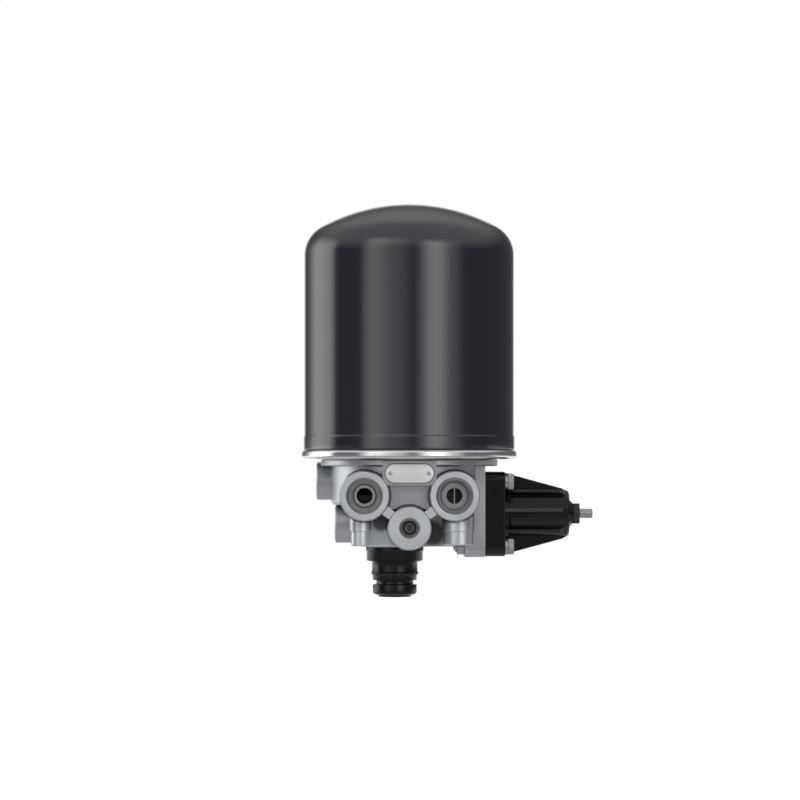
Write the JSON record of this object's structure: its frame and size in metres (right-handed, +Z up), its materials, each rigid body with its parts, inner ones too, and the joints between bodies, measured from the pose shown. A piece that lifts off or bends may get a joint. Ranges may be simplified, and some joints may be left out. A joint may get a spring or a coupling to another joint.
{
  "type": "compressed air dryer",
  "caption": "Air dryer for a vehicle's air system: spin-on desiccant cartridge on a cast valve housing, with front ports, exhaust neck below and pressure regulator at the side.",
  "frame": {"origin": "midway between the two upper fixing holes, on the rear mounting face", "axes": "+Z up along the cartridge, +Y out of the rear face towards the vehicle, +X towards the regulator"},
  "size_m": [0.1899, 0.1454, 0.2559],
  "materials": {
    "black_enamel": "glossy black enamel on deep-drawn steel",
    "bright_seam": "bright zinc-plated rolled seam",
    "plain_steel": "plain oiled steel",
    "cast_aluminium": "blasted die-cast aluminium with machined faces",
    "plate_metal": "satin anodised sheet",
    "zinc_steel": "zinc-plated steel",
    "black_cast": "black painted die casting",
    "black_plastic": "black glass-filled plastic",
    "rubber": "black nitrile rubber",
    "desiccant": "pale beads",
    "felt": "needled polyester felt",
    "spring_steel": "oiled spring wire",
    "pale_plastic": "natural glass-filled plastic"
  },
  "bodies": {
    "root": {"cartridge_shell": "black_enamel", "seam_lid": "bright_seam", "base_plate": "plain_steel", "cartridge_seal_ring": "rubber", "centre_seal_ring": "rubber", "desiccant_canister": "pale_plastic", "lower_perforated_disc": "plain_steel", "lower_fleece": "felt", "desiccant_bed": "desiccant", "upper_fleece": "felt", "upper_perforated_disc": "plain_steel", "oil_filter_ring": "felt", "cartridge_spring": "spring_steel", "housing": "cast_aluminium", "nameplate": "plate_metal", "nameplate_rivets": "plate_metal", "throttle_insert": "plain_steel", "check_valve_cage": "zinc_steel", "check_valve_spring": "spring_steel", "exhaust_neck": "black_plastic", "neck_seal": "rubber", "neck_retaining_ring": "spring_steel", "purge_spring": "spring_steel", "regulator_cover": "black_cast", "regulator_face_seal": "rubber", "regulator_spring": "spring_steel", "lock_nut": "black_cast", "regulator_upper_bolts": "zinc_steel", "regulator_lower_bolts": "zinc_steel", "regulator_nuts": "zinc_steel", "lock_washers": "zinc_steel"},
    "check_valve": {"check_valve_disc": "rubber"},
    "purge_valve": {"purge_piston": "plate_metal", "purge_piston_seal": "rubber", "exhaust_valve_disc": "rubber", "exhaust_valve_nut": "zinc_steel"},
    "regulator_piston": {"regulator_piston": "plate_metal", "regulator_piston_seal": "rubber"},
    "spring_seat": {"regulator_spring_seat": "zinc_steel"},
    "adjusting_screw": {"adjusting_screw": "zinc_steel"}
  },
  "joints": [
    {"name": "check_valve_lift", "type": "slide", "parent": "root", "child": "check_valve", "axis": [0, -1, 0], "range_m": [0, 0.003], "stiffness_N_per_m": 600, "springref_m": -0.004, "deforming": ["check_valve_spring"]},
    {"name": "purge_valve_travel", "type": "slide", "parent": "root", "child": "purge_valve", "axis": [0, 0, -1], "range_m": [0, 0.003], "stiffness_N_per_m": 4000, "springref_m": -0.004, "deforming": ["purge_spring"]},
    {"name": "regulator_piston_travel", "type": "slide", "parent": "root", "child": "regulator_piston", "axis": [1, 0, 0], "range_m": [0, 0.0025], "stiffness_N_per_m": 30000, "springref_m": -0.004, "deforming": ["regulator_spring"]},
    {"name": "spring_seat_travel", "type": "slide", "parent": "root", "child": "spring_seat", "axis": [1, 0, 0], "range_m": [-0.0025, 0.0025]},
    {"name": "adjusting_screw_turn", "type": "hinge", "parent": "spring_seat", "child": "adjusting_screw", "pos_m": [0.111, -0.075, -0.0175], "axis": [1, 0, 0], "range_deg": [-725, 725]}
  ],
  "couplings": [
    {"joint": "adjusting_screw_turn", "follows": "spring_seat_travel", "rad_per_m": 5026.5}
  ]
}
